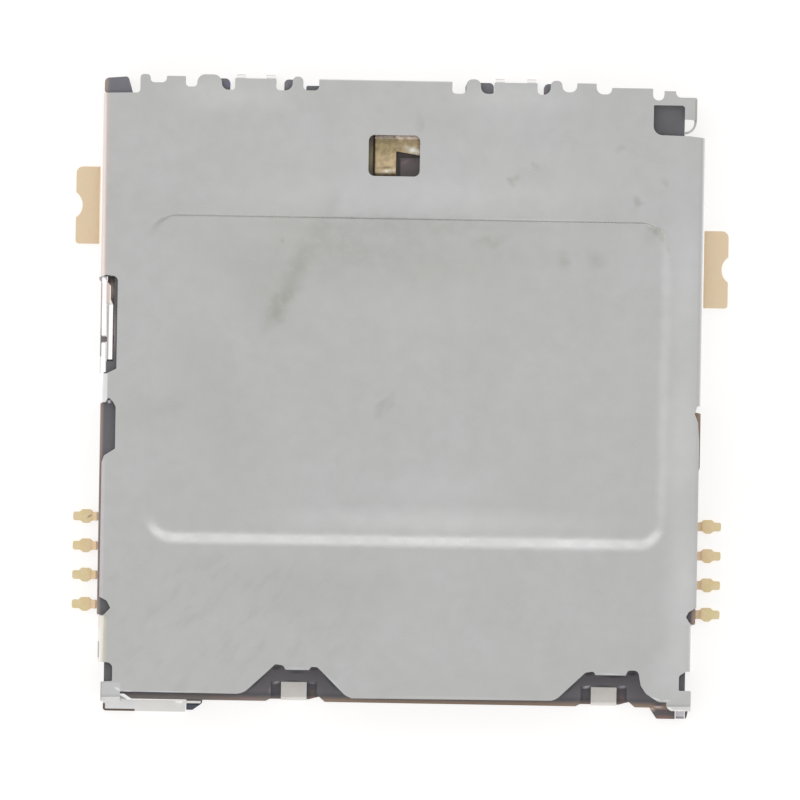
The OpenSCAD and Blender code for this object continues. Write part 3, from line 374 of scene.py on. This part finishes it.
def sheet_shade(n, place, axes):
    """The shell's shade: cloudy patches, fine specks, slanting mottles, stains and spots, with
    painted shade and painted highlights among the stains and spots.
    """
    clouds = n.noise(place, 0.55, 3.0, 0.55)
    specks = n.noise(place, 4.0, 3.0, 0.6)
    shade = n.product(
        n.ramp(clouds, 0.3, 0.7, 0.987, 1.013),
        n.ramp(specks, 0.25, 0.75, 0.99, 1.01),
    )
    # Slanting mottles at the front left
    slanted = turned(n, place, (0, 0, 0), MOTTLE_SLANT, (1, 0.35, 1))
    mottles = n.ramp(n.noise(slanted, 1.1, 4.0), 0.5, 0.7)
    zone = n.product(n.span(axes[0], -8.0, -3.0, 3.0), n.span(axes[1], -8.2, -4.8, 0.8))
    shade = n.product(shade, n.less(mottles, zone, MOTTLE_DEPTH))
    # Dark stains are broken up by the specks, and the broad ones wander a little
    breaks = n.ramp(specks, 0.3, 0.6, 0.45, 1.0)
    drift = n.vector("SUBTRACT", {0: n.noise(place, 2.2, output="Color"), 1: (0.5, 0.5, 0.5)})
    wander = n.vector("MULTIPLY_ADD", {0: drift, 1: (0.5, 0.5, 0), 2: place})
    for start, end, width, depth in STAINS:
        at = wander if width > LINE_WIDTH and depth > 0 else place
        strength = breaks if depth > 0 else LIGHT_STRENGTH
        shade = n.product(shade, n.less(streak(n, at, start, end, width), strength, depth))
    plan = n.vector("MULTIPLY", {0: wander, 1: (1, 1, 0)})
    for centre, radius, depth in SPOTS:
        shade = n.product(shade, n.less(spot(n, plan, centre, radius), breaks, depth))
    return shade


def bend_highlight(n, axes):
    """1 on the bends at both sides, above the walls, where a painted highlight goes."""
    left = n.ramp(axes[0], -8.16, -8.22)
    right = n.product(n.ramp(axes[0], 8.19, 8.22), n.ramp(axes[1], -5.85, -5.8))
    inset = n.product(
        n.ramp(axes[0], 8.04, 8.07),
        n.ramp(axes[1], -6.05, -6.1),
        n.ramp(axes[1], -7.45, -7.4),
    )
    bends = n.math("MAXIMUM", left, n.math("MAXIMUM", right, inset))
    return n.product(bends, n.ramp(axes[2], 1.0, 1.2))


def pale_feet(n, axes, colour):
    """The colour with paler feet, low down at the left front and the rear, a painted shadow rim on
    the left foot, and the rear's mask.
    """
    low = n.ramp(axes[2], 0.42, 0.38)
    front = n.product(n.ramp(axes[1], -8.38, -8.41), n.ramp(axes[0], -5.0, -5.1), low)
    rear = n.product(n.ramp(axes[1], 8.62, 8.65), low)
    pale = n.mix(n.ramp(axes[0], -7.3, -6.7), WHITE, rgba(1.0, 0.98, 0.95))
    pale = n.mix(rear, pale, rgba(1.0, 0.99, 0.97))
    pale = n.mix(n.ramp(axes[1], 8.68, 8.7), pale, rgba(0.84, 0.8, 0.77))
    colour = n.mix(n.math("MAXIMUM", front, rear), colour, pale)
    # Painted shadow: a dark rim in front of the left foot and at its end
    rim = n.product(n.ramp(axes[1], -8.655, -8.67), n.ramp(axes[0], -7.06, -7.1))
    side = n.product(n.ramp(axes[0], -7.88, -7.9), n.ramp(axes[1], -8.5, -8.53))
    dark = n.product(front, n.math("MAXIMUM", rim, side))
    return n.mix(dark, colour, rgba(0.19, 0.14, 0.11)), rear


def steel():
    made, n, place, axes = material("satin_steel")
    warmth = n.noise(turned(n, place, (31, 17, 5), 0, (1, 1, 1)), 0.4)
    warmth = n.ramp(warmth, 0.35, 0.65)
    base = n.mix(warmth, rgba(0.65, 0.657, 0.647), rgba(0.655, 0.655, 0.64))
    shade = sheet_shade(n, place, axes)
    blue = n.math("POWER", shade, YELLOWING)
    blue = n.math("MINIMUM", blue, n.product(shade, BLUE_LIMIT))
    colour = n.tint(1.0, base, n.levels(shade, shade, blue))
    # Painted highlight, nearly white, on the side bends
    colour = n.mix(bend_highlight(n, axes), colour, rgba(1.0, 0.995, 0.99))
    for (x0, x1), (y0, y1), soft, tint in TINTS:
        zone = n.product(n.span(axes[0], x0, x1, soft), n.span(axes[1], y0, y1, soft))
        colour = n.tint(zone, colour, rgba(*tint))
    colour, rear = pale_feet(n, axes, colour)
    metallic = n.less(rear, 0.2)
    roughness = n.ramp(n.noise(place, 2.2, 3.0), 0.3, 0.7, 0.27, 0.36)
    roughness = n.math("ADD", roughness, n.product(rear, 0.3))
    relief = {"Strength": 0.35, "Distance": 0.006 * MM, "Height": n.noise(place, 1.3)}
    finish_surface(n, colour, metallic, roughness, relief)
    return made


def plastic():
    made, n, place, axes = material("moulded_plastic")
    clouds = n.ramp(n.noise(place, 1.1, 3.0), 0.3, 0.7)
    grain = n.noise(place, 26.0, 2.0, 0.6)
    colour = n.mix(clouds, rgba(0.142, 0.138, 0.153), rgba(0.162, 0.158, 0.17))
    # Painted light: paler deep inside, where the shell shades the moulding, less so in the front
    # notches; paler too at the rear rim
    deep = n.product(n.ramp(axes[2], 1.05, 0.5), n.ramp(axes[1], -8.2, -8.1))
    inner = n.mix(n.ramp(axes[1], -6.2, -6.0), rgba(1.39, 1.32, 1.33), rgba(2.2, 2.05, 1.8))
    colour = n.tint(deep, colour, inner)
    colour = n.tint(n.ramp(axes[1], 8.05, 8.1), colour, rgba(1.44, 1.46, 1.53))
    # Browner along the front lip and the sides
    side = n.ramp(n.away(axes[0]), 8.02, 8.12)
    side = n.product(side, n.less(n.span(axes[1], 0.4, 3.2, 0.02)))
    lip = n.ramp(axes[1], -8.2, -8.36)
    brown = n.ramp(axes[0], -3.4, -1.6)
    brown = n.mix(brown, rgba(0.43, 0.325, 0.275), rgba(0.485, 0.34, 0.248))
    brown = n.mix(n.product(lip, n.ramp(axes[0], -4.8, -5.2)), brown, rgba(0.31, 0.28, 0.25))
    colour = n.mix(n.product(n.math("MAXIMUM", lip, side), 0.85), colour, brown)
    # Dark feet in front of the lip
    colour = n.tint(n.ramp(axes[1], -8.41, -8.44), colour, rgba(0.39, 0.47, 0.66))
    for start, end, width, tint in MARKS:
        colour = n.tint(streak(n, place, start, end, width), colour, rgba(*tint))
    roughness = n.ramp(grain, 0.3, 0.7, 0.5, 0.62)
    relief = {"Strength": 0.4, "Distance": 0.006 * MM, "Height": grain}
    finish_surface(n, colour, 0.0, roughness, relief)
    return made


# Plating: the window through which the switch spring is seen
WINDOW_X = (-0.85, 0.6)
WINDOW_Y = (6.0, 7.25)


def terminal_tints(n, place, axes, colour):
    """The colour with yellower small terminals, a scratch, and darker necks beside the shell."""
    outer = n.away(axes[0])
    beyond = n.ramp(outer, 8.0, 8.05)
    terminals = n.product(n.ramp(axes[1], -2.5, -3.0), beyond)
    flecks = n.ramp(n.noise(place, 5.5, 2.0), 0.42, 0.58)
    yellow = n.mix(flecks, rgba(1.0, 1.03, 0.94), rgba(0.97, 1.0, 0.84))
    colour = n.tint(terminals, colour, yellow)
    neck_end = n.math("ADD", 8.28, n.product(terminals, 0.06))
    short_of_end = n.ramp(n.math("SUBTRACT", outer, neck_end), 0.03, -0.03)
    neck = n.product(beyond, n.ramp(axes[2], 0.3, 0.28), short_of_end)
    neck_darkening = n.mix(terminals, rgba(0.92, 0.88, 0.86), rgba(0.75, 0.73, 0.88))
    colour = n.tint(neck, colour, neck_darkening)
    scratch = streak(n, place, (-8.47, -3.47), (-8.33, -3.37), 0.035)
    return n.tint(scratch, colour, rgba(0.35, 0.3, 0.22))


def spring_colour(n, place, axes):
    """The switch spring: olive and worn, with painted highlights at its tip, along the arm's edge and
    at the window's rear rim, and painted shade at its root, in its crease and along its left side.
    """
    # Painted shade: the finger darker towards its root, under the panel
    finger = n.ramp(axes[1], 6.48, 6.78)
    finger = n.mix(finger, rgba(0.69, 0.54, 0.335), rgba(0.46, 0.37, 0.21))
    # Painted shade in the crease across the finger
    fold = streak(n, place, (-0.7, 6.22), (-0.3, 6.24), 0.06)
    finger = n.mix(fold, finger, rgba(0.35, 0.28, 0.17))
    # Painted highlight on the curled tip
    tip = streak(n, place, (-0.62, 6.1), (-0.24, 6.17), 0.09)
    finger = n.mix(tip, finger, rgba(1.0, 0.93, 0.75))
    # Painted shade along the finger's left side
    finger = n.mix(n.ramp(axes[0], -0.74, -0.78), finger, rgba(0.3, 0.22, 0.12))
    # Painted highlight along the arm's front edge
    edge = streak(n, place, (0.05, 6.78), (0.5, 6.65), 0.14)
    arm = n.mix(edge, rgba(0.53, 0.41, 0.25), rgba(1.0, 0.95, 0.84))
    colour = n.mix(n.ramp(axes[0], -0.25, -0.15), finger, arm)
    # Painted light at the window's rear rim, where the panel's edge shades the spring
    colour = n.mix(n.ramp(axes[1], 6.99, 7.06), colour, rgba(0.95, 0.8, 0.68))
    worn = n.ramp(n.noise(place, 7.0, 3.0), 0.35, 0.65, 0.82, 1.12)
    return n.tint(1.0, colour, n.levels(worn, worn, worn))


def levelled_normal(n, factor):
    """The surface's own normal, turned straight up where factor is 1."""
    up = n.add(
        "ShaderNodeVectorTransform",
        {0: (0, 0, 1)},
        vector_type="NORMAL",
        convert_from="OBJECT",
        convert_to="WORLD",
    )
    own = n.add("ShaderNodeNewGeometry").outputs["Normal"]
    inputs = {0: factor, 4: own, 5: up.outputs[0]}
    return n.add("ShaderNodeMix", inputs, data_type="VECTOR").outputs[1]


def plating(name, pale, deep, rough_low, rough_high):
    """A thin satin plating whose colour drifts between two tones."""
    made, n, place, axes = material(name)
    clouds = n.ramp(n.noise(place, 3.2, 3.0), 0.3, 0.7)
    grain = n.noise(place, 22.0, 2.0, 0.6)
    colour = terminal_tints(n, place, axes, n.mix(clouds, rgba(*pale), rgba(*deep)))
    # The front solder tabs fade to bare white at their ends
    bare = n.ramp(axes[1], -8.33, -8.38)
    colour = n.mix(bare, colour, rgba(1.0, 0.97, 0.94))
    # The switch spring under the window takes its own colour, with painted light and shade, is
    # smoother, and shades as if it faced straight up
    inside = n.product(n.span(axes[0], *WINDOW_X, 0.05), n.span(axes[1], *WINDOW_Y, 0.03))
    colour = n.mix(inside, colour, spring_colour(n, place, axes))
    metallic = n.less(bare, 0.6)
    roughness = n.ramp(grain, 0.3, 0.7, rough_low, rough_high)
    roughness = n.math("SUBTRACT", roughness, n.product(inside, 0.2))
    relief = {
        "Strength": 0.4,
        "Distance": 0.004 * MM,
        "Height": grain,
        "Normal": levelled_normal(n, n.product(inside, 0.85)),
    }
    finish_surface(n, colour, metallic, roughness, relief)
    return made


GOLD = ((0.965, 0.795, 0.545), (0.985, 0.765, 0.54), 0.34, 0.46)
TIN = ((0.78, 0.755, 0.72), (0.745, 0.715, 0.675), 0.38, 0.5)

MATERIALS = {
    "shell_steel": steel(),
    "housing_plastic": plastic(),
    "contact_gold": plating("gold_plating", *GOLD),
    "tab_tin": plating("tin_plating", *TIN),
}


# Pieces: each CAD node with its points joined, its flats flat and its bends smooth
WELD = 1e-7
SMOOTH_LIMIT = math.cos(math.radians(32))
DIRECTION_DIGITS = 3
OFFSET_DIGITS = 6


def plane_key(face):
    """A key that the faces of one plane share."""
    direction = (round(c, DIRECTION_DIGITS) for c in face.normal)
    return (*direction, round(face.normal.dot(face.center), OFFSET_DIGITS))


def smooth_normals(mesh):
    """Corner normals in which each face counts by the area of the whole plane it is part of."""
    keys = [plane_key(face) for face in mesh.polygons]
    areas = {}
    for face, key in zip(mesh.polygons, keys):
        areas[key] = areas.get(key, 0) + face.area
    around = [[] for _ in mesh.vertices]
    for face in mesh.polygons:
        for v in face.vertices:
            around[v].append(face.index)
    normals = []
    for face in mesh.polygons:
        for v in face.vertices:
            total = Vector()
            for other in around[v]:
                near = mesh.polygons[other].normal
                if near.dot(face.normal) > SMOOTH_LIMIT:
                    total += near * areas[keys[other]]
            normals.append(total.normalized() if total.length > 0 else face.normal.copy())
    return normals


def dressed(node, slot):
    """The node's skin in its material, which takes the node's place."""
    mesh = bpy.data.meshes.new(node + "_skin")
    bm = bmesh.new()
    bm.from_mesh(frame["nodes"][node].data)
    bmesh.ops.remove_doubles(bm, verts=bm.verts, dist=WELD)
    bm.to_mesh(mesh)
    bm.free()
    custom = mesh.attributes.get("custom_normal")
    if custom:
        mesh.attributes.remove(custom)
    mesh.shade_smooth()
    mesh.normals_split_custom_set(smooth_normals(mesh))
    mesh.materials.append(MATERIALS[slot])
    piece = bpy.data.objects.new(node + "_skin", mesh)
    scene.collection.objects.link(piece)
    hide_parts(node)
    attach(piece, "root")


for row in frame["record"]["subparts"]:
    dressed(row["node"], row["material_slot"])


# Floor: white to the eye, with a soft shadow, and clear from below so that the underside shows
FLOOR_HALF = 2.0
FLOOR_GAP = 0.02 * MM
FLOOR_COLOUR = rgba(0.38, 0.37, 0.365)
FLOOR_GLOW = rgba(1, 0.995, 0.99)
FLOOR_GLOW_STRENGTH = 0.76


def floor():
    made = bpy.data.materials.new("pale_floor")
    made.use_nodes = True
    n = Nodes(made.node_tree)
    path = n.add("ShaderNodeLightPath").outputs
    seen = n.math("MAXIMUM", path["Is Camera Ray"], path["Is Glossy Ray"])
    seen = n.math("MAXIMUM", seen, path["Is Transmission Ray"])
    paper = n.add("ShaderNodeBsdfDiffuse", {"Color": FLOOR_COLOUR})
    strength = n.product(seen, FLOOR_GLOW_STRENGTH)
    glow = n.add("ShaderNodeEmission", {"Color": FLOOR_GLOW, "Strength": strength})
    lit = n.add("ShaderNodeAddShader", {0: paper.outputs[0], 1: glow.outputs[0]})
    clear = n.add("ShaderNodeBsdfTransparent")
    under = n.add("ShaderNodeNewGeometry").outputs["Backfacing"]
    both = n.add("ShaderNodeMixShader", {0: under, 1: lit.outputs[0], 2: clear.outputs[0]})
    n.add("ShaderNodeOutputMaterial", {"Surface": both.outputs[0]})
    h = FLOOR_HALF
    mesh = bpy.data.meshes.new("floor")
    mesh.from_pydata([(-h, -h, 0), (h, -h, 0), (h, h, 0), (-h, h, 0)], [], [(0, 1, 2, 3)])
    mesh.materials.append(made)
    plane = bpy.data.objects.new("floor", mesh)
    plane.location = (0, 0, cad_box[0].z - FLOOR_GAP)
    scene.collection.objects.link(plane)


floor()

# World: brighter towards the left and the horizon, dimmer in front, white to the eye
SKY_LEAN = 0.6
SKY_BRIGHT = 1.05
SKY_DIM = 0.72


def sky():
    world = bpy.data.worlds.new("studio")
    scene.world = world
    world.use_nodes = True
    n = Nodes(world.node_tree)
    direction = n.add("ShaderNodeTexCoord").outputs["Generated"]
    axes = n.add("ShaderNodeSeparateXYZ", {0: direction}).outputs
    slant = n.math("ADD", axes[2], n.product(axes[0], SKY_LEAN))
    level = n.ramp(slant, -0.05, 0.66, SKY_BRIGHT, SKY_DIM)
    level = n.product(level, n.ramp(axes[1], -0.9, -0.25, SKY_DIM, 1.0))
    seen = n.add("ShaderNodeLightPath").outputs["Is Camera Ray"]
    strength = n.add("ShaderNodeMix", {0: seen, 2: level, 3: 1.0}, data_type="FLOAT").outputs[0]
    dome = n.add("ShaderNodeBackground", {"Color": WHITE, "Strength": strength})
    n.add("ShaderNodeOutputWorld", {"Surface": dome.outputs[0]})


sky()

# Lamps: azimuth (0 = +Y) and tilt from straight above in degrees, size in metres, radiance
LAMP_DISTANCE = 0.2
LAMPS = {
    "rear_box": (0, 33, (0.16, 0.05), 0.58),
    "rear_left_box": (-45, 34, (0.05, 0.04), 0.9),
    "rear_right_box": (45, 34, (0.05, 0.04), 0.9),
    "front_box": (180, 70, (0.2, 0.05), 0.7),
    "left_box": (-90, 68, (0.16, 0.13), 0.2),
}


def softbox(name, azimuth, tilt, size, radiance):
    """A rectangular lamp that looks at the part."""
    data = bpy.data.lights.new(name, "AREA")
    data.shape = "RECTANGLE"
    data.size, data.size_y = size
    data.energy = radiance * math.pi * size[0] * size[1]
    lamp = bpy.data.objects.new(name, data)
    a, t = math.radians(azimuth), math.radians(tilt)
    away = Vector((math.sin(t) * math.sin(a), math.sin(t) * math.cos(a), math.cos(t)))
    lamp.location = away * LAMP_DISTANCE
    lamp.rotation_euler = away.to_track_quat("Z", "Y").to_euler()
    lamp.visible_camera = False
    scene.collection.objects.link(lamp)


for name, values in LAMPS.items():
    softbox(name, *values)
